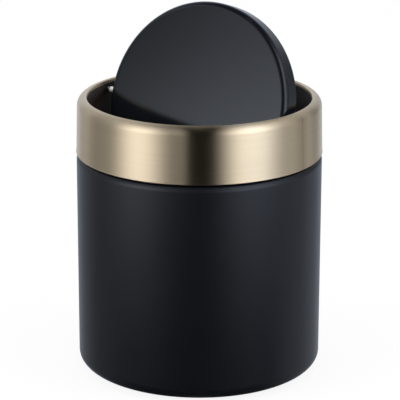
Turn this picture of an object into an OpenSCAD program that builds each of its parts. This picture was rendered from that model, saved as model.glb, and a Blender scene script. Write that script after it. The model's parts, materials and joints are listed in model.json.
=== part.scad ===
// Countertop trash can with a round swing lid.
// Origin: centre of the footprint on the table. +Z is up, -Y is the front.
// The lid turns on the X axis direction and stands open at rest.

/* [Body] */
// Outside diameter of the steel body
body_d = 120.5; // [100:0.5:180]
// Height of the body from its underside to the top of its shoulder
body_h = 108; // [80:0.1:180]
// Sheet thickness of the body
body_wall = 0.8; // [0.5:0.1:1.2]
// Radius of the round corner at the foot of the body
foot_corner_r = 5.75; // [3:0.25:8]
// Radius of the round shoulder under the ring
shoulder_r = 3.5; // [2.5:0.25:4.5]
// Width of the flat flange that the body turns in under the floor
floor_flange_w = 9; // [7:0.5:14]
// Flat width between the shoulder and the turned-down lip of the mouth
mouth_flat_w = 0.5; // [0.3:0.1:1.5]
// Depth of the turned-down lip around the mouth
mouth_lip_h = 7; // [4:0.5:12]
// Radius of the bend between the mouth's flat and its lip
mouth_bend_r = 0.4; // [0.2:0.1:0.7]

/* [Floor and base] */
// Sheet thickness of the floor plate
floor_t = 0.6; // [0.4:0.1:1.2]
// Height by which the middle of the floor plate is pressed up
floor_rise = 1; // [0.5:0.25:3]
// Width of the sloped step around the raised middle of the floor
floor_step_w = 1.5; // [1:0.25:3]
// Thickness of the base cap's flange under the body
cap_flange_t = 0.9; // [0.6:0.1:2]
// Width by which the base cap covers the body's flange
cap_cover_w = 5.7; // [3:0.1:6.5]
// Diameter of one foot pad
pad_d = 9; // [6:0.5:11]
// Height of the foot pads under the base cap
pad_drop = 0.5; // [0.3:0.1:2]
// Depth of the pocket that holds a foot pad
pad_pocket = 0.4; // [0.2:0.1:0.5]
// Number of foot pads
pad_count = 4; // [3:1:6]

/* [Ring] */
// Height of the ring
ring_h = 27.6; // [22:0.1:40]
// Sheet thickness of the ring
ring_t = 0.8; // [0.5:0.1:1]
// Distance by which the ring's foot stands out past the body
ring_proud = 0.05; // [0:0.05:1]
// Distance by which the ring's wall leans in on its way up
ring_draft = 0.55; // [0:0.05:0.8]
// Width of the ring's rim, seen from above
rim_w = 4.8; // [4.5:0.1:7]
// Radius of the rim's outer round
rim_round_r = 4.2; // [2.5:0.1:4.8]
// Radius of the rim's inner edge
rim_inner_r = 0.6; // [0.2:0.1:0.7]
// Radius of the hem bead along the ring's lower edge
hem_r = 0.5; // [0.45:0.05:0.8]
// Distance by which the hem bead stands out past the ring
hem_proud = 0.15; // [0:0.05:0.4]
// Open line between the body's shoulder and the ring
ring_gap = 0.3; // [0.3:0.1:1.2]

/* [Ring insert] */
// Thickness of the insert's flange
insert_flange_t = 2.2; // [1.5:0.1:4]
// Wall of the insert's spigot
spigot_wall = 1.3; // [1:0.1:1.5]
// Depth of the spigot inside the body
spigot_h = 12; // [8:0.5:20]
// Height of the insert's inner rib
inner_rib_h = 8; // [4:0.5:12]
// Thickness of the insert's inner rib
inner_rib_t = 1.3; // [0.8:0.1:1.4]
// Height of the insert's outer rib
outer_rib_h = 4; // [2:0.5:8]
// Thickness of the insert's outer rib
outer_rib_t = 1; // [0.8:0.1:1.2]
// Width of each post that backs a pivot pin
post_w = 12; // [8:0.5:20]
// Height of each post above the pivot axis
post_over_axis = 2; // [1:0.25:2.25]
// Width of the spigot's soft band
band_w = 2; // [1.5:0.1:4]
// Thickness of the spigot's soft band
band_t = 0.8; // [0.5:0.05:0.85]
// Depth of the spigot's groove for the band
band_groove = 0.65; // [0.4:0.05:0.7]
// Distance from the insert's flange to the middle of the band
band_drop = 5; // [3:0.5:6]
// Lead-in chamfer at the spigot's lower edge
spigot_chamfer = 0.5; // [0.2:0.1:0.7]

/* [Lid] */
// Open gap between the lid's edge and the ring
lid_gap = 4.8; // [4:0.05:8]
// Thickness of the lid, outside
lid_h = 10.7; // [10:0.1:14]
// Sheet thickness of the lid
lid_t = 0.8; // [0.5:0.1:1]
// Radius of the round edge of the lid's face
lid_edge_r = 3; // [2:0.25:3.5]
// Distance from the ring's top down to the closed lid's face
face_drop = 0.3; // [0:0.05:2]
// Distance from the lid's face down to the pivot axis
axis_depth = 4.05; // [4:0.05:4.5]
// Depth of the lid's underside plate inside the skirt
plate_recess = 0.55; // [0.5:0.05:1.2]
// Height of the turned-up rim of the underside plate
plate_rim_h = 2; // [1:0.25:3]
// Angle by which the lid stands open at rest
lid_tilt = 72; // [0:1:180]

/* [Lid carrier] */
// Width of the carrier's bar
bar_w = 12; // [9:0.5:16]
// Wall under the carrier's bush bore
bar_floor = 0.8; // [0.5:0.1:1.2]
// Thickness of the foam tape between the carrier and the lid's face
tape_t = 0.3; // [0.2:0.05:0.8]
// Width of the foam tape
tape_w = 5; // [3:0.5:6]
// Mean radius of the carrier's ring
carrier_ring_r = 38; // [34:0.5:42]
// Width of the carrier's ring
carrier_ring_w = 6; // [5:0.5:8]
// Thickness of the carrier's ring
carrier_ring_t = 2.4; // [1.5:0.1:3]
// Diameter of the carrier's screw posts
screw_post_d = 7; // [5:0.5:8]
// Diameter of the lid screws
screw_d = 2.2; // [1.8:0.1:2.6]
// Diameter of the countersunk heads of the lid screws
screw_head_d = 4.2; // [3.8:0.1:5]
// Length of the lid screws
screw_l = 6; // [4:0.5:6.5]

/* [Pivot] */
// Diameter of the pivot pins
pin_d = 1.8; // [1.6:0.1:3.4]
// Diameter of the heads of the pivot pins
pin_head_d = 4.2; // [4:0.1:6]
// Thickness of the heads of the pivot pins
pin_head_t = 1.2; // [0.8:0.1:1.4]
// Length of pin inside the lid
pin_reach = 6.8; // [5:0.1:12]
// Wall of the nylon bushes
bush_wall = 0.4; // [0.35:0.05:0.8]
// Diameter of the collars of the bushes, outside the lid
bush_collar_d = 2.9; // [2.9:0.1:5]
// Length of the collars of the bushes
bush_collar_l = 2.4; // [0.8:0.1:2.6]
// Wall of the steel spacers on the pivot pins
spacer_wall = 0.45; // [0.4:0.05:1.2]

/* [Ballast] */
// Length of the ballast plate
ballast_l = 56; // [30:1:62]
// Width of the ballast plate
ballast_w = 26; // [22:1:40]
// Diameter of the rivets that hold the ballast plate
rivet_d = 2.4; // [1.6:0.1:3]
// Diameter of the heads of the rivets
rivet_head_d = 4.6; // [4:0.1:5]
// Height of the heads of the rivets
rivet_head_h = 0.45; // [0.3:0.05:0.5]
// Distance between the rivets along the plate
rivet_pitch = 40; // [20:1:46]

/* [Fits] */
// Radial clearance of a pin that turns in a bush
run_clear = 0.05; // [0.02:0.01:0.1]
// Axial play on each side of the lid
end_play = 0.3; // [0.15:0.05:0.5]
// Radial clearance between the spigot and the body's mouth
spigot_clear = 0.25; // [0.2:0.05:0.6]
// Clearance of pieces that are pushed together and stay put
push_clear = 0.05; // [0.02:0.01:0.1]
// Clearance between pieces that only lie on each other
seat_clear = 0.05; // [0.02:0.01:0.1]
// Extra clearance of a skin inside another skin
skin_clear = 0.15; // [0.1:0.05:0.3]

/* [Hidden] */
$fn = 96;
// Distance by which a cut runs past the face that it opens
cut = 1;

// Finishes
black_steel = [0.09, 0.10, 0.12];
brass_steel = [0.72, 0.62, 0.46];
black_plastic = [0.05, 0.05, 0.06];
bright_steel = [0.80, 0.80, 0.82];
plain_steel = [0.55, 0.56, 0.58];
nylon = [0.88, 0.87, 0.83];
rubber_black = [0.03, 0.03, 0.03];

// Body, from the table up
body_r = body_d / 2;
lift = pad_drop + cap_flange_t;
body_top = lift + body_h;
mouth_r = body_r - shoulder_r - mouth_flat_w;
flange_in_r = body_r - foot_corner_r - floor_flange_w;
floor_z = lift + body_wall;
floor_r = body_r - foot_corner_r - skin_clear;
floor_panel_r = flange_in_r - skin_clear;
cap_r = flange_in_r + cap_cover_w;
cap_boss_r = flange_in_r - skin_clear;
pad_ring_r = cap_r - pad_d / 2 - push_clear * 10;
pad_h = pad_drop + pad_pocket - seat_clear;

// Ring
ring_r = body_r + ring_proud;
ring_z = body_top + ring_gap;
ring_top = ring_z + ring_h;
rim_r = ring_r - ring_draft;
ring_in_r = rim_r - rim_w;
lean_top = ring_top - rim_round_r;

// Hollow inside the ring's section
hollow_in_r = ring_in_r + ring_t;
hollow_out_r = rim_r - ring_t;
hollow_round_r = rim_round_r - ring_t;
hollow_top = ring_top - ring_t;

// Insert
insert_z = body_top + seat_clear;
insert_flange_top = insert_z + insert_flange_t;
spigot_r = mouth_r - spigot_clear;
spigot_in_r = spigot_r - spigot_wall;
insert_out_r = hollow_out_r - skin_clear;
band_z = insert_z - band_drop;
band_in_r = spigot_r - band_groove + push_clear;
band_out_r = band_in_r + band_t;

// Lid, with z measured from the pivot axis while the lid is closed
lid_r = ring_in_r - lid_gap;
pivot_z = ring_top - face_drop - axis_depth;
lid_face = axis_depth;
lid_under = axis_depth - lid_h;
lid_inside = lid_face - lid_t;
skirt_in_r = lid_r - lid_t;
plate_low = lid_under + plate_recess;
plate_top = plate_low + lid_t;
plate_r = skirt_in_r - skin_clear;
carrier_top = lid_inside - tape_t;
bush_r = pin_d / 2 + run_clear + bush_wall;
bush_bore_r = pin_d / 2 + run_clear;
bush_seat_r = bush_r + push_clear;
bar_low = -bush_seat_r - bar_floor;
ballast_low = plate_top;
ballast_t = bar_low - ballast_low - seat_clear;
screw_post_turn = 45;

// Pivot, along X from the axis of the bin
pin_head_x = hollow_in_r + push_clear;
pin_end_x = lid_r - pin_reach;
pin_back_x = pin_head_x + pin_head_t;
bush_face_x = lid_r + push_clear;
bush_out_x = bush_face_x + bush_collar_l;
bush_in_x = pin_end_x - end_play;
spacer_in_x = bush_out_x + end_play;
spacer_out_x = ring_in_r - push_clear * 2;
spacer_r = pin_d / 2 + push_clear + spacer_wall;

// Waste to take off a square corner at [0, 0], whose sides run to -X and -Y, for a round of radius r
module corner_waste(r) {
  difference() {
    translate([-r, -r]) square(r + cut);
    translate([-r, -r]) circle(r);
    translate([-r - cut, -r - cut]) square([cut, r + 3 * cut]);
    translate([-r - cut, -r - cut]) square([r + 3 * cut, cut]);
  }
}

// The same waste for a corner at the lower end of an outer face
module lower_corner_waste(r) {
  mirror([0, 1]) corner_waste(r);
}

// The same waste for a corner at the upper end of an inner face
module inner_corner_waste(r) {
  mirror([1, 0]) corner_waste(r);
}

// Half section of a plain can from the axis out, with a round foot and a round shoulder
module can_section(r, low, high, foot_r, top_r) {
  difference() {
    translate([0, low]) square([r, high - low]);
    translate([r, low]) lower_corner_waste(foot_r);
    translate([r, high]) corner_waste(top_r);
  }
}

// Cylinder along +X from x0 to x1 at the height of its local axis
module rod_x(r, x0, x1) {
  translate([x0, 0, 0]) rotate([0, 90, 0]) cylinder(r = r, h = x1 - x0);
}

// Ring of four copies, turned from each other by a quarter
module at_quarters(radius, first_turn) {
  for (i = [0 : 3]) {
    rotate([0, 0, first_turn + 90 * i]) translate([radius, 0, 0]) children();
  }
}

// Places the lid's own pieces on the pivot axis, open by the lid's tilt
module on_pivot() {
  translate([0, 0, pivot_z]) rotate([lid_tilt, 0, 0]) children();
}

// Drawn steel body, with its foot turned in and its mouth turned down
module body_shell() {
  color(black_steel) rotate_extrude() difference() {
    union() {
      difference() {
        can_section(body_r, lift, body_top, foot_corner_r, shoulder_r);
        can_section(body_r - body_wall, floor_z, body_top - body_wall,
                    foot_corner_r - body_wall, shoulder_r - body_wall);
      }
      translate([mouth_r, body_top - mouth_lip_h]) square([body_wall, mouth_lip_h - body_wall / 2]);
    }
    translate([-cut, body_top - mouth_lip_h - cut]) square([mouth_r + cut, mouth_lip_h + 2 * cut]);
    translate([mouth_r, body_top]) inner_corner_waste(mouth_bend_r);
    translate([-cut, lift - cut]) square([flange_in_r + cut, body_wall + 2 * cut]);
  }
}

// Pressed steel floor, spot-welded on the body's flange, with its middle raised
module floor_plate() {
  color(plain_steel) rotate_extrude() polygon([
    [0, floor_z + floor_rise],
    [floor_panel_r - floor_step_w, floor_z + floor_rise],
    [floor_panel_r, floor_z],
    [floor_r, floor_z],
    [floor_r, floor_z + floor_t],
    [floor_panel_r, floor_z + floor_t],
    [floor_panel_r - floor_step_w, floor_z + floor_rise + floor_t],
    [0, floor_z + floor_rise + floor_t]
  ]);
}

// Moulded base cap that snaps into the body's foot and holds the foot pads
module base_cap() {
  cap_low = pad_drop;
  cap_seat = lift - seat_clear;
  color(black_plastic) difference() {
    rotate_extrude() difference() {
      union() {
        translate([0, cap_low]) square([cap_r, cap_seat - cap_low]);
        translate([0, cap_low]) square([cap_boss_r, floor_z - seat_clear - cap_low]);
      }
      translate([cap_r, cap_low]) lower_corner_waste(pad_pocket);
    }
    foot_pad_places() cylinder(d = pad_d + 2 * push_clear, h = pad_h + cut);
  }
}

// Centres of the foot pads on the table
module foot_pad_places() {
  for (i = [0 : pad_count - 1]) {
    rotate([0, 0, 360 / pad_count * i]) translate([pad_ring_r, 0, 0]) translate([0, 0, -cut]) children();
  }
}

// Round rubber pads, pushed into the base cap's pockets
module foot_pads() {
  color(rubber_black) intersection() {
    foot_pad_places() cylinder(d = pad_d, h = pad_h + cut);
    cylinder(r = cap_r, h = pad_h);
  }
}

// Half section between an upright inner face and an outer face that leans in, round at its top
module leaning_section(in_r, out_r, low, high, round_r) {
  difference() {
    polygon([
      [in_r, low],
      [out_r + ring_draft * (lean_top - low) / (lean_top - ring_z), low],
      [out_r, high - round_r],
      [out_r, high],
      [in_r, high]
    ]);
    translate([out_r, high]) corner_waste(round_r);
  }
}

// Half section of the ring's hollow from a height up, drawn in by a clearance
module hollow_section(low, clear) {
  leaning_section(hollow_in_r + clear, hollow_out_r - clear, low, hollow_top - clear, hollow_round_r);
}

// Brushed ring, rolled over at the top, with a hem at its lower edge
module rim_ring() {
  wall_low = ring_z + hem_r;
  color(brass_steel) difference() {
    rotate_extrude() difference() {
      union() {
        leaning_section(ring_in_r, rim_r, wall_low, ring_top, rim_round_r);
        translate([ring_r + hem_proud - hem_r, wall_low]) circle(hem_r);
      }
      translate([ring_in_r, ring_top]) inner_corner_waste(rim_inner_r);
      hollow_section(ring_z - cut, 0);
      translate([ring_in_r - cut, ring_z - cut])
        square([hollow_in_r - ring_in_r + cut, insert_flange_top - ring_z + cut]);
    }
    for (side = [0, 1]) {
      mirror([side, 0, 0]) translate([0, 0, pivot_z])
        rod_x(pin_d / 2 + push_clear, ring_in_r - cut, hollow_in_r + cut);
    }
  }
}

// Moulded insert: fills the ring's foot, plugs into the body's mouth and backs the pivot pins
module ring_insert() {
  color(black_plastic) union() {
    rotate_extrude() difference() {
      union() {
        translate([spigot_in_r, insert_z]) square([insert_out_r - spigot_in_r, insert_flange_t]);
        translate([spigot_in_r, insert_z - spigot_h]) square([spigot_wall, spigot_h + seat_clear]);
        translate([hollow_in_r + push_clear, insert_flange_top - seat_clear])
          square([inner_rib_t, inner_rib_h + seat_clear]);
        translate([insert_out_r - outer_rib_t, insert_flange_top - seat_clear])
          square([outer_rib_t, outer_rib_h + seat_clear]);
      }
      translate([spigot_r - band_groove, band_z - band_w / 2 - push_clear])
        square([band_groove + cut, band_w + 2 * push_clear]);
      translate([spigot_r, insert_z - spigot_h]) rotate(45)
        square(spigot_chamfer * sqrt(2), center = true);
    }
    for (side = [0, 1]) {
      mirror([side, 0, 0]) pin_post();
    }
  }
}

// Post on the +X side of the insert, behind the head of the pivot pin
module pin_post() {
  post_x = pin_back_x + push_clear;
  post_low = insert_flange_top - seat_clear;
  intersection() {
    rotate_extrude() hollow_section(ring_z, skin_clear);
    translate([post_x, -post_w / 2, post_low])
      cube([ring_r - post_x, post_w, pivot_z + post_over_axis - post_low]);
  }
}

// Soft band in the spigot's groove, which holds the collar in the body's mouth
module spigot_band() {
  color(rubber_black) rotate_extrude()
    translate([band_in_r, band_z - band_w / 2]) square([band_t, band_w]);
}

// Headed steel pin through the ring's inner wall, on the +X side
module pivot_pin() {
  color(bright_steel) translate([0, 0, pivot_z]) {
    rod_x(pin_head_d / 2, pin_head_x, pin_back_x);
    rod_x(pin_d / 2, pin_end_x, pin_head_x + pin_head_t / 2);
  }
}

// Polished sleeve on the pin, between the ring and the lid, on the +X side
module pivot_spacer() {
  color(bright_steel) translate([0, 0, pivot_z]) difference() {
    rod_x(spacer_r, spacer_in_x, spacer_out_x);
    rod_x(pin_d / 2 + push_clear, spacer_in_x - cut, spacer_out_x + cut);
  }
}

module pivot_pin_left() { mirror([1, 0, 0]) pivot_pin(); }
module pivot_pin_right() { pivot_pin(); }
module pivot_spacer_left() { mirror([1, 0, 0]) pivot_spacer(); }
module pivot_spacer_right() { pivot_spacer(); }

// Nylon bush in the lid's edge with a collar that stands out of it, on the +X side
module pivot_bush() {
  color(nylon) on_pivot() difference() {
    union() {
      rod_x(bush_collar_d / 2, bush_face_x, bush_out_x);
      rod_x(bush_r, bush_in_x, bush_face_x + bush_collar_l / 2);
    }
    rod_x(bush_bore_r, bush_in_x - cut, bush_out_x + cut);
  }
}

module pivot_bush_left() { mirror([1, 0, 0]) pivot_bush(); }
module pivot_bush_right() { pivot_bush(); }

// Pressed steel lid: a flat face with a round edge and a deep skirt
module lid_top() {
  color(black_steel) on_pivot() difference() {
    rotate_extrude() difference() {
      can_section(lid_r, lid_under, lid_face, lid_t / 2, lid_edge_r);
      translate([-cut, lid_under - cut]) difference() {
        square([skirt_in_r + cut, lid_inside - lid_under + cut]);
        translate([skirt_in_r + cut, lid_inside - lid_under + cut]) corner_waste(lid_edge_r - lid_t);
      }
    }
    for (side = [0, 1]) {
      mirror([side, 0, 0]) rod_x(bush_seat_r, skirt_in_r - cut, lid_r + cut);
    }
  }
}

// Steel plate that closes the lid from below, screwed to the carrier
module lid_underside() {
  color(black_steel) on_pivot() difference() {
    rotate_extrude() difference() {
      translate([0, plate_low]) square([plate_r, lid_t + plate_rim_h]);
      translate([-cut, plate_top]) square([plate_r - lid_t + cut, plate_rim_h + cut]);
      translate([plate_r, plate_low]) lower_corner_waste(lid_t / 2);
    }
    at_quarters(carrier_ring_r, screw_post_turn) {
      translate([0, 0, plate_low - cut]) cylinder(d = screw_d + 2 * skin_clear, h = lid_t + 2 * cut);
      translate([0, 0, plate_low]) screw_head(push_clear);
    }
    rivet_places() translate([0, 0, plate_low - cut]) cylinder(d = rivet_d + 2 * push_clear, h = lid_t + 2 * cut);
  }
}

// Countersunk head, its flat face at z = 0, grown by a clearance
module screw_head(clear) {
  cylinder(r1 = screw_head_d / 2 + clear, r2 = screw_d / 2 + clear, h = (screw_head_d - screw_d) / 2);
}

// Moulded carrier inside the lid: a ring with four screw posts, and a bar with the bush bores
module lid_carrier() {
  color(black_plastic) on_pivot() difference() {
    union() {
      intersection() {
        translate([-lid_r, -bar_w / 2, bar_low]) cube([2 * lid_r, bar_w, carrier_top - bar_low]);
        translate([0, 0, bar_low - cut]) cylinder(r = skirt_in_r - lid_t - 2 * skin_clear, h = lid_h);
      }
      translate([0, 0, carrier_top - carrier_ring_t]) difference() {
        cylinder(r = carrier_ring_r + carrier_ring_w / 2, h = carrier_ring_t);
        translate([0, 0, -cut]) cylinder(r = carrier_ring_r - carrier_ring_w / 2, h = carrier_ring_t + 2 * cut);
      }
      at_quarters(carrier_ring_r, screw_post_turn)
        translate([0, 0, plate_top + seat_clear])
          cylinder(d = screw_post_d, h = carrier_top - carrier_ring_t / 2 - plate_top - seat_clear);
    }
    for (side = [0, 1]) {
      mirror([side, 0, 0]) rod_x(bush_seat_r, bush_in_x - push_clear, lid_r + cut);
    }
    at_quarters(carrier_ring_r, screw_post_turn) translate([0, 0, plate_low]) {
      cylinder(d = screw_d + 2 * push_clear, h = screw_l + 2 * push_clear);
      screw_head(push_clear);
    }
  }
}

// Foam tape that bonds the carrier's ring to the lid's face
module carrier_tape() {
  color(rubber_black) on_pivot() translate([0, 0, carrier_top]) difference() {
    cylinder(r = carrier_ring_r + tape_w / 2, h = tape_t);
    translate([0, 0, -cut]) cylinder(r = carrier_ring_r - tape_w / 2, h = tape_t + 2 * cut);
  }
}

// Countersunk screws that hold the underside plate on the carrier
module lid_screws() {
  color(plain_steel) on_pivot() at_quarters(carrier_ring_r, screw_post_turn)
    translate([0, 0, plate_low]) difference() {
      union() {
        screw_head(0);
        cylinder(d = screw_d, h = screw_l);
      }
      translate([-screw_head_d / 3, -screw_d / 8, -cut])
        cube([screw_head_d / 1.5, screw_d / 4, cut + screw_head_d / 10]);
      translate([-screw_d / 8, -screw_head_d / 3, -cut])
        cube([screw_d / 4, screw_head_d / 1.5, cut + screw_head_d / 10]);
    }
}

// Steel weight under the pivot axis, which swings the lid back level
module ballast_plate() {
  color(plain_steel) on_pivot() difference() {
    translate([-ballast_l / 2, -ballast_w / 2, ballast_low]) cube([ballast_l, ballast_w, ballast_t]);
    rivet_places() translate([0, 0, ballast_low - cut])
      cylinder(d = rivet_d + 2 * push_clear, h = ballast_t + 2 * cut);
  }
}

// Centres of the rivets, beside the carrier's bar
module rivet_places() {
  rivet_y = (bar_w + ballast_w) / 4;
  for (x = [-rivet_pitch / 2, rivet_pitch / 2], y = [-rivet_y, rivet_y]) {
    translate([x, y, 0]) children();
  }
}

// Rivets through the underside plate and the ballast plate
module ballast_rivets() {
  rivet_top = ballast_low + ballast_t;
  color(plain_steel) on_pivot() rivet_places() {
    translate([0, 0, plate_low - rivet_head_h]) cylinder(d = rivet_head_d, h = rivet_head_h);
    translate([0, 0, plate_low - rivet_head_h / 2]) cylinder(d = rivet_d, h = rivet_top - plate_low + rivet_head_h);
    translate([0, 0, rivet_top]) cylinder(d = rivet_head_d, h = rivet_head_h);
  }
}

body_shell();
floor_plate();
base_cap();
foot_pads();
rim_ring();
ring_insert();
spigot_band();
pivot_pin_left();
pivot_pin_right();
pivot_spacer_left();
pivot_spacer_right();
lid_top();
lid_underside();
lid_carrier();
carrier_tape();
lid_screws();
pivot_bush_left();
pivot_bush_right();
ballast_plate();
ballast_rivets();
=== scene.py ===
"""Looks of a countertop trash can with a round swing lid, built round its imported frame, in metres."""
import json
import math

import bpy
import numpy as np
from mathutils import Matrix, Vector


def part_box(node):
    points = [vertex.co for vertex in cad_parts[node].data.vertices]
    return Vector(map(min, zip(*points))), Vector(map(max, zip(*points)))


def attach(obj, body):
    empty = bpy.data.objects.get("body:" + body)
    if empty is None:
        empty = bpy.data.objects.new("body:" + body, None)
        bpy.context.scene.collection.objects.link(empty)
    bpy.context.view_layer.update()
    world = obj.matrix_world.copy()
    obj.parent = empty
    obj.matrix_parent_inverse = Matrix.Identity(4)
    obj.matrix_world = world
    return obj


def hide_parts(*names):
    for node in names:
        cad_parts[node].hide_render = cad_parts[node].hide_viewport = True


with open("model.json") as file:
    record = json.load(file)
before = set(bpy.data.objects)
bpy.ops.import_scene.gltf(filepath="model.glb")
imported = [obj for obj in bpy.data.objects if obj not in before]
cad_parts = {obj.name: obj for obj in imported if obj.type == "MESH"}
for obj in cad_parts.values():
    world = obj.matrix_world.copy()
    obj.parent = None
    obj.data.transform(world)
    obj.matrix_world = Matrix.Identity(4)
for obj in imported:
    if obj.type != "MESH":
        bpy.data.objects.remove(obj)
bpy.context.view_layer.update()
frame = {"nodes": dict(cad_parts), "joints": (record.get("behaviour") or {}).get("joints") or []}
mm = 0.001

# The can
# A drawn steel can in satin blue-black. Its foot is turned in under the floor with a round corner,
# and its mouth is rounded over a shoulder and turned down into a lip, where the ring plugs in.

can_low, can_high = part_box("body_shell")
can_r = can_high.x
can_foot = can_low.z
can_top = can_high.z
can_wall = 0.8 * mm
foot_corner_r = 5.75 * mm
foot_flange_w = 9 * mm
shoulder_r = 3.5 * mm
mouth_flat_w = 0.5 * mm
mouth_bend_r = 0.4 * mm
mouth_lip_h = 7 * mm


def arc(r, z, radius, start, end, steps=12):
    """Points of a circle's arc in the (r, z) half plane: the centre plus radius times (cos, sin) of
    an angle that runs evenly from start to end, in degrees."""
    turn = np.radians(np.linspace(start, end, steps))
    return np.column_stack((r + radius * np.cos(turn), z + radius * np.sin(turn)))


def turned(name, body, *stretches, sides=288, closed=True, shape=None, places=((0, 0, 0),)):
    """A surface of revolution: each profile point (r, z) becomes a circle of radius r at height z.
    The profile runs anticlockwise, so faces point outwards, and a point with r = 0 is a single pole.
    A stretch over 1 mm long gets a row 0.2 mm from either end, which keeps its shading straight.
    places are the shifts of its copies, and shape maps all (n, 3) points to their final place."""
    profile = np.vstack([np.atleast_2d(s) for s in stretches])
    ahead = np.roll(profile, -1, 0) - profile
    length = np.linalg.norm(ahead, axis=1)
    profile, ahead, length = profile[length > 1e-7], ahead[length > 1e-7], length[length > 1e-7]
    extra = length > 1 * mm
    share = np.where(extra, 0.2 * mm / length, 0)[:, None]
    rows = np.stack((profile, profile + ahead * share, profile + ahead * (1 - share)), axis=1)
    keep = np.stack((np.ones_like(extra), extra, extra), axis=1)
    if not closed:
        keep[-1, 1:] = False
    profile = rows[keep]
    count = len(profile)
    turn = np.linspace(0, 2 * math.pi, sides, endpoint=False)
    r, z = profile[:, :1], profile[:, 1:]
    points = np.stack((r * np.cos(turn), r * np.sin(turn), z + 0 * turn), axis=-1).reshape(-1, 3)

    # One face between two rows and two turns. All corners on a pole are its first point.
    index = np.arange(count * sides).reshape(count, sides)
    index[profile[:, 0] == 0] = index[profile[:, 0] == 0][:, :1]
    this, up = (index, np.roll(index, -1, 0)) if closed else (index[:-1], index[1:])
    quads = np.stack((this, np.roll(this, -1, 1), np.roll(up, -1, 1), up), axis=-1).reshape(-1, 4)
    used, quads = np.unique(quads, return_inverse=True)
    quads = quads.reshape(-1, 4)
    points = points[used]

    # The copies, and then their final place.
    shifts = np.array(places, float)
    quads = (quads + np.arange(len(shifts))[:, None, None] * len(points)).reshape(-1, 4)
    points = (points + shifts[:, None]).reshape(-1, 3)
    if shape:
        points = shape(points)
    faces = [tuple(dict.fromkeys(quad)) for quad in quads.tolist()]
    mesh = bpy.data.meshes.new(name)
    mesh.from_pydata(points, [], [face for face in faces if len(face) > 2])
    mesh.shade_smooth()
    mesh.set_sharp_from_angle(angle=math.radians(30))
    piece = bpy.data.objects.new(name, mesh)
    bpy.context.scene.collection.objects.link(piece)
    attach(piece, body)
    return piece


mouth_r = can_r - shoulder_r - mouth_flat_w
flange_in_r = can_r - foot_corner_r - foot_flange_w
corner_in = can_r - foot_corner_r
shoulder_in = can_r - shoulder_r
lip_out_r = mouth_r + can_wall
lip_root_h = math.sqrt((shoulder_r - can_wall) ** 2 - (lip_out_r - shoulder_in) ** 2)
lip_root_z = can_top - shoulder_r + lip_root_h
can = turned(
    "can", "bin",
    (flange_in_r, can_foot),
    arc(corner_in, can_foot + foot_corner_r, foot_corner_r, -90, 0, 16),
    arc(shoulder_in, can_top - shoulder_r, shoulder_r, 0, 90, 20),
    arc(mouth_r + mouth_bend_r, can_top - mouth_bend_r, mouth_bend_r, 90, 180, 6),
    (mouth_r, can_top - mouth_lip_h),
    (lip_out_r, can_top - mouth_lip_h),
    (lip_out_r, lip_root_z),
    arc(shoulder_in, can_top - shoulder_r, shoulder_r - can_wall, 80, 0, 12),
    arc(corner_in, can_foot + foot_corner_r, foot_corner_r - can_wall, 0, -90, 12),
    (flange_in_r, can_foot + can_wall),
)
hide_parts("body_shell")


class Value:
    """A socket of a shader tree. Python operators on it add Math nodes behind it."""

    def __init__(self, nodes, socket):
        self.nodes = nodes
        self.socket = socket

    def math(self, operation, *others):
        inputs = dict(enumerate((self, *others)))
        return self.nodes.add("ShaderNodeMath", {"operation": operation}, inputs)

    def __add__(self, other):
        return self.math("ADD", other)

    def __sub__(self, other):
        return self.math("SUBTRACT", other)

    def __mul__(self, other):
        return self.math("MULTIPLY", other)

    def __truediv__(self, other):
        return self.math("DIVIDE", other)

    def __rsub__(self, other):
        return self * -1 + other

    __radd__ = __add__
    __rmul__ = __mul__

    def xyz(self):
        """The three numbers of a vector."""
        return [self.nodes.add("ShaderNodeSeparateXYZ", None, {0: self}, out) for out in range(3)]

    def stretch(self, x, y, z):
        """The vector times a factor along each axis."""
        return self.nodes.add("ShaderNodeVectorMath", {"operation": "MULTIPLY"}, {0: self, 1: (x, y, z)})

    def noise(self, scale, detail=2.0, roughness=0.5):
        """Cloudy noise from 0 to 1, with about scale clouds to a metre of this vector."""
        inputs = {"Vector": self, "Scale": scale, "Detail": detail, "Roughness": roughness}
        return self.nodes.add("ShaderNodeTexNoise", None, inputs)

    def ramp(self, low, high):
        """0 at low and before it, 1 at high and past it, smooth in between. low may be above high."""
        inputs = {"Value": self, "From Min": low, "From Max": high}
        return self.nodes.add("ShaderNodeMapRange", {"interpolation_type": "SMOOTHSTEP"}, inputs)

    def bell(self, middle, width):
        """1 at the middle, and one half at width from it, on a bell curve: 2 to the -(off/width)^2."""
        off = (self - middle) / width
        return (off * off * -math.log(2)).math("EXPONENT")

    def colour(self, low, high):
        """The colour low at 0 and high at 1."""
        return self.nodes.add("ShaderNodeMix", {"data_type": "RGBA"}, {0: self, 6: low, 7: high}, 2)


class Nodes:
    """The shader tree of a material, world or lamp, emptied. add() makes every node."""

    def __init__(self, owner):
        self.owner = owner
        owner.use_nodes = True
        self.tree = owner.node_tree
        self.tree.nodes.clear()

    def add(self, kind, settings=None, inputs=None, out=0):
        """A node of this kind. Its settings are made first, then each input gets its value or link.
        The result is the output called out."""
        node = self.tree.nodes.new(kind)
        for key, value in (settings or {}).items():
            setattr(node, key, value)
        for key, value in (inputs or {}).items():
            place = node.inputs[key]
            if isinstance(value, Value):
                self.tree.links.new(value.socket, place)
            else:
                place.default_value = (*value, 1) if place.type == "RGBA" else value
        return Value(self, node.outputs[out])

    def end(self, kind, shader):
        """Ends the tree in its output node."""
        self.tree.links.new(shader.socket, self.tree.nodes.new(kind).inputs[0])


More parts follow.
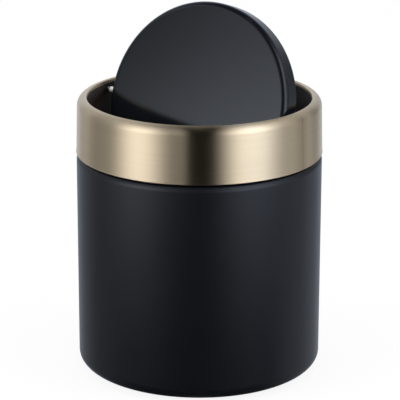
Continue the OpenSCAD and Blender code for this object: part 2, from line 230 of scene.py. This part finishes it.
def finish(name, paint, **fixed):
    """A material with one Principled shader. fixed sets its even values, and paint takes the Object
    coordinates and gives the sockets that vary, with Height and Depth for a Bump node."""
    nodes = Nodes(bpy.data.materials.new(name))
    place = nodes.add("ShaderNodeTexCoord", out=3)
    varied = paint(place)
    height = varied.pop("Height")
    depth = varied.pop("Depth")
    varied["Normal"] = nodes.add("ShaderNodeBump", None, {"Height": height, "Distance": depth})
    inputs = {key.replace("_", " "): value for key, value in {**fixed, **varied}.items()}
    nodes.end("ShaderNodeOutputMaterial", nodes.add("ShaderNodeBsdfPrincipled", None, inputs))
    return nodes.owner


def dress(piece, material):
    """Puts one material on a new piece or on a node of the frame."""
    piece.data.materials.clear()
    piece.data.materials.append(material)


def satin_coat(place):
    """Clouds 18 mm wide in the black, and the fine grain that a baked coat dries with."""
    cloud = place.noise(55, 3)
    return {
        "Base_Color": cloud.colour((0.0030, 0.0035, 0.0055), (0.0045, 0.0052, 0.0078)),
        "Roughness": cloud * 0.05 + 0.35,
        "Height": place.noise(2600, 2), "Depth": 0.004 * mm,
    }


coat = finish("satin_black_coat", satin_coat, IOR=1.5, Specular_IOR_Level=0.42)
dress(can, coat)

# The floor plate
# A disc of bare steel sheet, spot-welded on the can's turned-in foot. Its middle is pressed up.

floor_t = 0.6 * mm
floor_rise = 1 * mm
floor_step_w = 1.5 * mm
floor_bend = 0.5 * mm
floor_edge = 0.12 * mm


def softened(*corners, steps=5):
    """A profile with rounded corners. Each corner is (r, z, bend): both its sides are cut back by
    bend and joined by the curve (1-t)(1-t) before + 2t(1-t) corner + tt after."""
    corners = np.array(corners, float)
    point, bend = corners[:, :2], corners[:, 2:]
    back = np.roll(point, 1, 0) - point
    ahead = np.roll(point, -1, 0) - point
    before = point + back / np.linalg.norm(back, axis=1, keepdims=True) * bend
    after = point + ahead / np.linalg.norm(ahead, axis=1, keepdims=True) * bend
    t = np.linspace(0, 1, steps)[:, None]
    curve = (1 - t) ** 2 * before[:, None] + 2 * t * (1 - t) * point[:, None] + t ** 2 * after[:, None]
    return curve.reshape(-1, 2)


floor_low, floor_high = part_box("floor_plate")
panel_r = flange_in_r - 0.15 * mm
panel_z = floor_low.z + floor_rise
flange_z = floor_low.z + floor_t
plate = turned(
    "bottom_plate", "bin",
    softened((0, panel_z, 0), (panel_r - floor_step_w, panel_z, floor_bend),
             (panel_r, floor_low.z, floor_bend), (floor_high.x, floor_low.z, floor_edge),
             (floor_high.x, flange_z, floor_edge), (panel_r, flange_z, floor_bend),
             (panel_r - floor_step_w, panel_z + floor_t, floor_bend), (0, panel_z + floor_t, 0)),
    closed=False,
)
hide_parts("floor_plate")


def rolled_sheet(place):
    """Lines of the rolls along Y, 0.15 to 0.5 mm apart, and wide faint clouds."""
    line = place.stretch(1, 0.01, 1).noise(4200, 3, 0.6)
    return {
        "Base_Color": place.noise(70, 2).colour((0.50, 0.51, 0.53), (0.60, 0.61, 0.63)),
        "Roughness": line * 0.16 + 0.27,
        "Height": line, "Depth": 0.003 * mm,
    }


sheet_steel = finish("rolled_steel", rolled_sheet, Metallic=1.0)
dress(plate, sheet_steel)

# The base cap
# Moulded in black plastic and snapped into the can's foot. Its four pockets hold the pads.
# Its frame mesh has the right shape and stays.


def fine_grain(place):
    """The even spark-eroded grain of a mould, 0.4 mm across."""
    grain = place.noise(2400, 3, 0.6)
    return {
        "Base_Color": place.noise(90, 2).colour((0.017, 0.017, 0.019), (0.023, 0.023, 0.025)),
        "Roughness": grain * 0.12 + 0.46,
        "Height": grain, "Depth": 0.02 * mm,
    }


moulding = finish("black_moulding", fine_grain, IOR=1.5)
dress(frame["nodes"]["base_cap"], moulding)

# The foot pads
# Four pads of black rubber with soft edges, pushed into the base cap's pockets.

pad_low, pad_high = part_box("foot_pads")
pad_r = 4.5 * mm
pad_foot_edge = 0.35 * mm
pad_root_edge = 0.1 * mm
pad_ring_r = pad_high.x - pad_r
pads = turned(
    "rubber_pads", "bin",
    softened((0, pad_low.z, 0), (pad_r, pad_low.z, pad_foot_edge), (pad_r, pad_high.z, pad_root_edge),
             (0, pad_high.z, 0)),
    sides=64, closed=False,
    places=[(pad_ring_r, 0, 0), (0, pad_ring_r, 0), (-pad_ring_r, 0, 0), (0, -pad_ring_r, 0)],
)
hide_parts("foot_pads")


def dull_rubber(place):
    """A dull skin with faint pores."""
    pore = place.noise(1800, 4, 0.7)
    return {
        "Base_Color": pore.colour((0.014, 0.014, 0.014), (0.024, 0.024, 0.024)),
        "Roughness": pore * 0.15 + 0.68,
        "Height": pore, "Depth": 0.02 * mm,
    }


rubber = finish("black_rubber", dull_rubber, IOR=1.5)
dress(pads, rubber)

# The insert and its band
# A moulded black ring that fills the collar's foot and plugs into the can's mouth, with a soft band
# in a groove of its spigot. The insert's frame mesh has the right shape and stays.

dress(frame["nodes"]["ring_insert"], moulding)
band_low, band_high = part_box("spigot_band")
band_t = 0.8 * mm
band_round = 0.35 * mm
band_edge = 0.1 * mm
band_in_r = band_high.x - band_t
band = turned(
    "soft_band", "collar",
    softened((band_in_r, band_low.z, band_edge), (band_high.x, band_low.z, band_round),
             (band_high.x, band_high.z, band_round), (band_in_r, band_high.z, band_edge)),
)
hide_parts("spigot_band")
dress(band, rubber)

# The ring
# A collar of brushed steel in a pale brass tone, rolled from one strip and butt-welded. Its top is
# rolled over and runs down inside, where its colour is painted shade: a dark brown, not metallic,
# that stands in for the shadow and dark reflections in the ring. Its lower edge is a small hem.

ring_low, ring_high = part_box("rim_ring")
hem_proud = 0.15 * mm
hem_r = 0.5 * mm
ring_r = ring_high.x - hem_proud
ring_foot = ring_low.z
ring_top = ring_high.z
ring_t = 0.8 * mm
ring_lean = 0.55 * mm
rim_r = ring_r - ring_lean
rim_w = 4.8 * mm
rim_round_r = 4.2 * mm
rim_inner_r = 0.6 * mm
ring_in_r = rim_r - rim_w
ring_in_short = 1.95 * mm
ring_foot_in = ring_foot + ring_in_short
lean_turn = math.degrees(ring_lean / (ring_top - rim_round_r - ring_foot))
hem_turn = math.degrees(math.acos((hem_r - hem_proud) / hem_r))
hollow_turn = math.degrees(math.acos((ring_in_r + ring_t - rim_r + rim_round_r) / (rim_round_r - ring_t)))
ring = turned(
    "ring", "collar",
    arc(ring_r + hem_proud - hem_r, ring_foot + hem_r, hem_r, 180, 360 + hem_turn, 24),
    arc(rim_r - rim_round_r, ring_top - rim_round_r, rim_round_r, lean_turn, 90, 32),
    arc(ring_in_r + rim_inner_r, ring_top - rim_inner_r, rim_inner_r, 90, 180, 10),
    (ring_in_r, ring_foot_in),
    (ring_in_r + ring_t, ring_foot_in),
    arc(rim_r - rim_round_r, ring_top - rim_round_r, rim_round_r - ring_t, hollow_turn, lean_turn, 12),
    (ring_r - ring_t, ring_foot + hem_r),
    sides=360,
)
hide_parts("rim_ring")

degrees = 180 / math.pi
weld_turn = -2.6
weld_w = 0.16
brush_long = 14
brush_fine = 3800
streak_long = 12
streak_fine = 900


def brushed_round(place):
    """Brush lines that run round the ring: noise drawn out along the ring and fine up it and out
    from it, and broader streaks. The weld is a thin wandering dark line on the outer wall, at
    weld_turn degrees about the axis. The inner wall below the rim is painted shade: a dark brown,
    not metallic, for the shadow and dark reflections in the ring. The rim is a bit smoother."""
    x, y, z = place.xyz()
    radius = (x * x + y * y).math("SQRT")
    brush = {"Vector": place.stretch(brush_long, brush_long, brush_fine), "W": radius * brush_fine,
             "Scale": 1.0, "Detail": 4.0, "Roughness": 0.65}
    line = place.nodes.add("ShaderNodeTexNoise", {"noise_dimensions": "4D"}, brush)
    broad = place.stretch(streak_long, streak_long, streak_fine).noise(1.0, 4, 0.7)
    # Painted shade: the inner wall below the rim's top gets a dark brown, not metallic, in place of the
    # shadow and dark reflections in the ring.
    inner_wall = radius.ramp(ring_in_r + 0.3 * mm, ring_in_r + 0.05 * mm)
    shaded_inside = inner_wall * z.ramp(ring_top - 1.2 * mm, ring_top - 1.8 * mm)
    wander = (place.stretch(1, 1, 260).noise(1.0, 2) - 0.5) * 0.5
    turn = y.math("ARCTAN2", x) * degrees
    weld = (turn + wander).bell(weld_turn, weld_w) * radius.ramp(ring_in_r + 2 * mm, ring_in_r + 4 * mm)
    metal = (line * 0.3 + broad * 0.7).colour((0.745, 0.58, 0.375), (0.91, 0.72, 0.485))
    metal = (weld * 0.5).colour(metal, (0.30, 0.22, 0.15))
    rim = z.ramp(ring_top - 5 * mm, ring_top - 3 * mm)
    return {
        "Base_Color": shaded_inside.colour(metal, (0.022, 0.014, 0.011)),
        "Metallic": 1 - shaded_inside,
        "Roughness": line * 0.08 + 0.34 - rim * 0.03,
        "Height": line, "Depth": 0.0012 * mm,
    }


brass = finish("brushed_brass_tone_steel", brushed_round, IOR=1.5, Anisotropic=1.0,
               Anisotropic_Rotation=0.25)
dress(ring, brass)

# The pivot pins and their sleeves
# Two headed pins of bright steel through the ring's inner wall, held from its hollow side. A bright
# sleeve on each keeps the lid in the middle.

swing = next(joint for joint in frame["joints"] if joint["name"] == "lid_swing")
pivot = Vector(swing["pos_m"])


def bright_steel(place):
    """Polished steel with the faint rings of its turning."""
    ring_line = place.stretch(1, 0.2, 0.2).noise(9000, 2)
    return {
        "Base_Color": place.noise(500, 2).colour((0.76, 0.76, 0.78), (0.84, 0.84, 0.86)),
        "Roughness": ring_line * 0.08 + 0.14,
        "Height": ring_line, "Depth": 0.001 * mm,
    }


polished = finish("polished_steel", bright_steel, Metallic=1.0)


def along_pivot(points):
    """Lays a piece that was turned about Z on the pivot line: its height becomes X."""
    return points[:, (2, 0, 1)] + np.array(pivot)


def along_pivot_left(points):
    """The same on the -X side: half a turn about Z."""
    return points[:, (2, 0, 1)] * (-1, -1, 1) + np.array(pivot)


pin_r = 0.9 * mm
pin_head_r = 2.1 * mm
pin_head_t = 1.2 * mm
pin_tip_edge = 0.25 * mm
pin_neck_edge = 0.05 * mm
pin_head_edge = 0.15 * mm
pin_head_round = 0.3 * mm
run_clear = 0.05 * mm
bore_r = pin_r + run_clear
sleeve_edge = 0.12 * mm
pin_low, pin_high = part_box("pivot_pin_right")
pin_head_x = pin_high.x - pin_head_t
sleeve_low, sleeve_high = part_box("pivot_spacer_right")
for side, lay in (("left", along_pivot_left), ("right", along_pivot)):
    pin = turned(
        "pin_" + side, "collar",
        softened((0, pin_low.x, 0), (pin_r, pin_low.x, pin_tip_edge), (pin_r, pin_head_x, pin_neck_edge),
                 (pin_head_r, pin_head_x, pin_head_edge), (pin_head_r, pin_high.x, pin_head_round),
                 (0, pin_high.x, 0)),
        sides=48, closed=False, shape=lay,
    )
    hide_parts("pivot_pin_" + side)
    dress(pin, polished)
    sleeve = turned(
        "sleeve_" + side, "collar",
        softened((bore_r, sleeve_low.x, sleeve_edge), (sleeve_high.y, sleeve_low.x, sleeve_edge),
                 (sleeve_high.y, sleeve_high.x, sleeve_edge), (bore_r, sleeve_high.x, sleeve_edge)),
        sides=48, shape=lay,
    )
    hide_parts("pivot_spacer_" + side)
    dress(sleeve, polished)

# The lid
# One steel pressing in a glossier black: a flat face, a round edge and a deep skirt. It stands open,
# turned about the pivot line.

lid_tilt = math.radians(72)
lid_r = 50.15 * mm
lid_t = 0.8 * mm
lid_edge_r = 3 * mm
lid_h = 10.7 * mm
axis_depth = 4.05 * mm
tilt_matrix = np.array(Matrix.Rotation(lid_tilt, 3, "X"))


def open_lid(points):
    """Turns points about the lid's own axis by the tilt, then moves them up to the pivot."""
    return points @ tilt_matrix.T + np.array(pivot)


lid = turned(
    "lid", "lid",
    (0, axis_depth - lid_t),
    arc(lid_r - lid_edge_r, axis_depth - lid_edge_r, lid_edge_r - lid_t, 90, 0, 12),
    (lid_r - lid_t, axis_depth - lid_h + lid_t / 2),
    arc(lid_r - lid_t / 2, axis_depth - lid_h + lid_t / 2, lid_t / 2, -180, 0, 12),
    arc(lid_r - lid_edge_r, axis_depth - lid_edge_r, lid_edge_r, 0, 90, 32),
    (0, axis_depth),
    sides=360, closed=False, shape=open_lid,
)
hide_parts("lid_top")


def half_gloss_coat(place):
    """The same black with a smoother, glossier skin: wide soft clouds and a fainter grain."""
    cloud = place.noise(55, 3)
    return {
        "Base_Color": cloud.colour((0.0050, 0.0060, 0.0082), (0.0062, 0.0074, 0.0100)),
        "Roughness": cloud * 0.03 + 0.10,
        "Height": place.noise(2600, 2), "Depth": 0.002 * mm,
    }


half_gloss = finish("half_gloss_black_coat", half_gloss_coat, IOR=1.5, Specular_IOR_Level=0.42)
dress(lid, half_gloss)

# Inside the lid
# A moulded carrier, taped to the face, holds the bushes and the screws. A steel weight under the
# pivot swings the lid back level. All are closed in by a coated plate with four screws.


def foam(place):
    """Closed cells of foam tape, 0.3 mm wide."""
    cell = place.nodes.add("ShaderNodeTexVoronoi", None, {"Vector": place, "Scale": 3200.0})
    return {
        "Base_Color": cell.colour((0.012, 0.012, 0.012), (0.026, 0.026, 0.026)),
        "Roughness": cell * 0.1 + 0.8,
        "Height": cell, "Depth": 0.05 * mm,
    }


def zinc_skin(place):
    """Zinc plating: a soft sheen with small spangles."""
    spangle = place.noise(1400, 3, 0.6)
    return {
        "Base_Color": spangle.colour((0.50, 0.51, 0.53), (0.62, 0.63, 0.65)),
        "Roughness": spangle * 0.14 + 0.26,
        "Height": spangle, "Depth": 0.003 * mm,
    }


zinc = finish("zinc_plated_steel", zinc_skin, Metallic=1.0)
dress(frame["nodes"]["lid_carrier"], moulding)
dress(frame["nodes"]["carrier_tape"], finish("foam_tape", foam, IOR=1.5))
dress(frame["nodes"]["ballast_plate"], sheet_steel)
dress(frame["nodes"]["lid_underside"], coat)
dress(frame["nodes"]["lid_screws"], zinc)

# The rivets' seats, as heights above the lid's axis.
plate_under = -6.1 * mm
weight_top = -2.25 * mm
rivet_r = 1.2 * mm
rivet_head_r = 2.3 * mm
rivet_head_h = 0.45 * mm
rivet_x = 20 * mm
rivet_y = 9.5 * mm
crown_r = rivet_head_r * 0.75
crown_h = rivet_head_h * 0.9
crown_round = 0.5 * mm
rivet_edge = 0.05 * mm
rivets = turned(
    "rivets", "lid",
    softened((0, plate_under - rivet_head_h, 0), (crown_r, plate_under - crown_h, crown_round),
             (rivet_head_r, plate_under, rivet_edge), (rivet_r, plate_under, rivet_edge),
             (rivet_r, weight_top, rivet_edge), (rivet_head_r, weight_top, rivet_edge),
             (crown_r, weight_top + crown_h, crown_round), (0, weight_top + rivet_head_h, 0)),
    sides=48, closed=False, shape=open_lid,
    places=[(x, y, 0) for x in (-rivet_x, rivet_x) for y in (-rivet_y, rivet_y)],
)
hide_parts("ballast_rivets")
dress(rivets, zinc)

# The bushes
# Natural nylon, pressed into the carrier. Their collars stand out of the lid's skirt as two white
# spots, and the pins turn in them.


def natural_nylon(place):
    """Milky nylon with a slight mottle."""
    mottle = place.noise(900, 3)
    return {
        "Base_Color": mottle.colour((0.80, 0.79, 0.75), (0.87, 0.86, 0.82)),
        "Roughness": mottle * 0.1 + 0.36,
        "Height": mottle, "Depth": 0.004 * mm,
    }


nylon = finish("natural_nylon", natural_nylon, IOR=1.53)
bush_r = 1.35 * mm
collar_r = 1.45 * mm
collar_x = 50.2 * mm
bush_edge = 0.1 * mm
collar_edge = 0.15 * mm
collar_back_edge = 0.03 * mm
neck_edge = 0.02 * mm
bush_low, bush_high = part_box("pivot_bush_right")
for side, lay in (("left", along_pivot_left), ("right", along_pivot)):
    bush = turned(
        "bush_" + side, "lid",
        softened((bore_r, bush_low.x, bush_edge), (bush_r, bush_low.x, bush_edge),
                 (bush_r, collar_x, neck_edge), (collar_r, collar_x, collar_back_edge),
                 (collar_r, bush_high.x, collar_edge), (bore_r, bush_high.x, bush_edge)),
        sides=48, shape=lay,
    )
    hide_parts("pivot_bush_" + side)
    dress(bush, nylon)

# The camera
# It stands where the photograph was taken: 32.5 degrees to the right of the front, 17.5 degrees up.
# It looks at the can's axis 84 mm up, and is shifted and turned a little to match.

scene = bpy.context.scene
scene.view_settings.view_transform = "Standard"
camera_data = bpy.data.cameras.new("camera")
camera_data.sensor_width = 36
camera_data.lens = 192.66
camera_data.shift_x = 0.00193
camera = bpy.data.objects.new("camera", camera_data)
scene.collection.objects.link(camera)
camera.location = (0.5431, -0.8524, 0.4020)
camera_aim = Vector((0, 0, 0.0838))
camera_roll = Matrix.Rotation(0.002, 3, "Z")
look = (camera_aim - camera.location).to_track_quat("-Z", "Y")
camera.rotation_euler = (look.to_matrix() @ camera_roll).to_euler()
scene.camera = camera

# The table and the background
# A pale table top that keeps a faint shadow under the can, and a white room. The table turns
# wholly white further off, so that no horizon shows.


def set_piece(name, points, faces):
    """A mesh of the studio, which isn't part of the can."""
    mesh = bpy.data.meshes.new(name)
    mesh.from_pydata(points, [], faces)
    piece = bpy.data.objects.new(name, mesh)
    scene.collection.objects.link(piece)
    return piece


def seen_directly(nodes):
    """1 for the camera, for mirrors and for glass, 0 for the light that falls on things."""
    by_camera = nodes.add("ShaderNodeLightPath", out="Is Camera Ray")
    in_mirror = nodes.add("ShaderNodeLightPath", out="Is Glossy Ray")
    through_glass = nodes.add("ShaderNodeLightPath", out="Is Transmission Ray")
    return by_camera.math("MAXIMUM", in_mirror).math("MAXIMUM", through_glass)


table_half = 20
table_white = 0.87
table_white_from = 0.6
table_white_by = 2.5
full_white = 1.03
table_corners = np.array([(-1, -1, 0), (1, -1, 0), (1, 1, 0), (-1, 1, 0)], float) * table_half
table = set_piece("table", table_corners, [(0, 1, 2, 3)])
table.visible_glossy = False
nodes = Nodes(bpy.data.materials.new("pale_table"))
place = nodes.add("ShaderNodeTexCoord", out=3)
x, y = place.xyz()[:2]
away = (x * x + y * y).math("SQRT").ramp(table_white_from, table_white_by)
whiteness = seen_directly(nodes) * (away * (1 - table_white) + table_white)
pale = place.noise(3, 2).colour((0.79, 0.79, 0.79), (0.81, 0.81, 0.81))
matt = nodes.add("ShaderNodeBsdfDiffuse", None, {"Color": pale})
white = nodes.add("ShaderNodeEmission", None, {"Strength": full_white})
table_top = nodes.add("ShaderNodeMixShader", None, {0: whiteness, 1: matt, 2: white})
nodes.end("ShaderNodeOutputMaterial", table_top)
dress(table, nodes.owner)

sky_light = 0.48
scene.world = bpy.data.worlds.new("white_room")
nodes = Nodes(scene.world)
sky_strength = seen_directly(nodes) * (1 - sky_light) + sky_light
sky = nodes.add("ShaderNodeBackground", None, {"Color": (1, 1, 1), "Strength": sky_strength})
nodes.end("ShaderNodeOutputWorld", sky)

# The light tent
# What the metal and the enamel mirror: a round tent with a soft box to the left and one to the
# right of the camera, dark cloth between, over and under them, grey cloth at its sides and pale
# cloth behind. Only mirror rays see it: it lights nothing else and casts no shadow.

tent_r = 0.42
tent_z = 0.1
around, upward = np.meshgrid(np.radians(np.arange(0, 360, 3)), np.radians(np.linspace(-87, 87, 59)))
ball = np.stack((np.cos(around) * np.cos(upward), np.sin(around) * np.cos(upward), np.sin(upward)), -1)
ball = (ball * tent_r + (0, 0, tent_z)).reshape(-1, 3)
index = np.arange(around.size).reshape(around.shape)
quads = np.stack((index[:-1], np.roll(index[:-1], -1, 1), np.roll(index[1:], -1, 1), index[1:]), -1)
tent = set_piece("light_tent", ball, quads.reshape(-1, 4).tolist())
tent.visible_camera = False
tent.visible_diffuse = False
tent.visible_shadow = False
tent.visible_transmission = False

nodes = Nodes(bpy.data.materials.new("tent_cloth"))
nodes.owner.cycles.emission_sampling = "NONE"
x, y, z = nodes.add("ShaderNodeTexCoord", out=3).xyz()
front = math.atan2(camera.location.y, camera.location.x)
toward = x * math.cos(front) + y * math.sin(front)
rightward = y * math.cos(front) - x * math.sin(front)

# Where a point of the cloth is, in degrees. azimuth is 0 in front, at the camera, and grows to the
# right; aside is the same on both sides. height is 0 level with the tent's middle. across is the
# angle out of the upright plane through the camera and the can.
azimuth = rightward.math("ARCTAN2", toward) * degrees
aside = azimuth.math("ABSOLUTE")
height = (z - tent_z).math("ARCTAN2", (x * x + y * y).math("SQRT")) * degrees
across = (rightward / tent_r).math("ARCSINE") * degrees

# The left box is a bright panel with a dim strip on the camera's side of it. Its outer edge leans,
# and it fades upwards, most at its outer end. toward keeps it in the front half of the tent.
slant = azimuth - height * 0.25
panel = across.ramp(-20, -53) * 2.36
strip = across.ramp(-8, -13) * 0.46
left_box = slant.ramp(-87.5, -56) * (panel + strip) * toward.ramp(-0.15, 0.05)
left_box = left_box * (1 - height.ramp(12, 34) * (azimuth.ramp(-42, -56) * 0.3 + 0.25))

# The right box is one panel, a little dimmer in its upper part. Both boxes come up softly from the
# table and dim towards the top of the tent.
right_box = across.ramp(9, 38) * azimuth.ramp(85, 52) * (2.54 - height.ramp(-4, 20) * 0.5)
rise = height.ramp(-27, 4) * (1 - height.ramp(62, 88) * 0.6)
boxes = (left_box + right_box) * rise

# A bright patch high on either side, above the ends of the boxes.
high = aside.bell(78, 20) * height.bell(44, 8) * 0.75

# The grey cloth at the sides, half as light towards the back and lighter from the middle up. It has
# two dark and two light folds, a step at its edge on either side, and a dark patch on the right.
grey = aside.ramp(66, 90) * (1 - aside.ramp(118, 140) * 0.5) * 0.25
grey = grey - azimuth.bell(-103, 7) * 0.06 + azimuth.bell(84, 12) * 0.1
grey = grey - azimuth.bell(104, 4) * 0.14 + azimuth.bell(116, 4) * 0.13
steps = azimuth.ramp(108, 113) * 0.06 + azimuth.ramp(-115, -119) * 0.14
shade = 1 - height.bell(6, 14) * azimuth.bell(124, 20) * 0.6
grey = (grey * (1 + height.ramp(-20, 0) * 0.5) + steps) * shade

# The pale cloth behind, with a darker band a little above the middle, and lighter low down and
# straight behind. Low on the right is a little more light. All cloth ends softly above and below.
pale_band = 1 - height.bell(13, 12) * 0.35
pale_low = 1 + height.ramp(2, -10) * 0.25
behind = aside.ramp(128, 150) * pale_band * pale_low * 0.36 + aside.ramp(158, 170) * 0.12
low_right = height.ramp(4, -12) * azimuth.ramp(60, 110) * 0.14
cloth = (grey + behind + low_right) * height.ramp(74, 38) * height.ramp(-70, -30)

# The floor and the dark cloth give a faint light. The white is cool, and bluer behind and in the
# right box.
floor_light = height.ramp(-20, -50) * 0.03
dark_light = 0.005
light = boxes + high + cloth + floor_light + dark_light
bluer = aside.ramp(118, 145) * 0.6 + azimuth.ramp(20, 50) * azimuth.ramp(100, 70) * 0.8
tint = bluer.colour((0.93, 1, 1.11), (0.91, 1.03, 1.24))
glow = nodes.add("ShaderNodeEmission", None, {"Color": tint, "Strength": light})
nodes.end("ShaderNodeOutputMaterial", glow)
dress(tent, nodes.owner)

# The lamps
# Three wide soft lamps, left, right and above, and the white room. Together they light a colour to
# about what it is. Mirrors don't show them, because they show the tent.

lamp_w = 1.2
lamp_power = 14
lamp_places = {"lamp_left": (-0.9, -1.4, 1.2), "lamp_right": (1.7, 0.2, 1.2), "lamp_top": (0, 0, 2.0)}
for name, place in lamp_places.items():
    lamp_data = bpy.data.lights.new(name, "AREA")
    lamp_data.shape = "SQUARE"
    lamp_data.size = lamp_w
    lamp_data.energy = lamp_power
    lamp = bpy.data.objects.new(name, lamp_data)
    lamp.location = place
    lamp.rotation_euler = (-Vector(place)).to_track_quat("-Z", "Y").to_euler()
    lamp.visible_glossy = False
    scene.collection.objects.link(lamp)
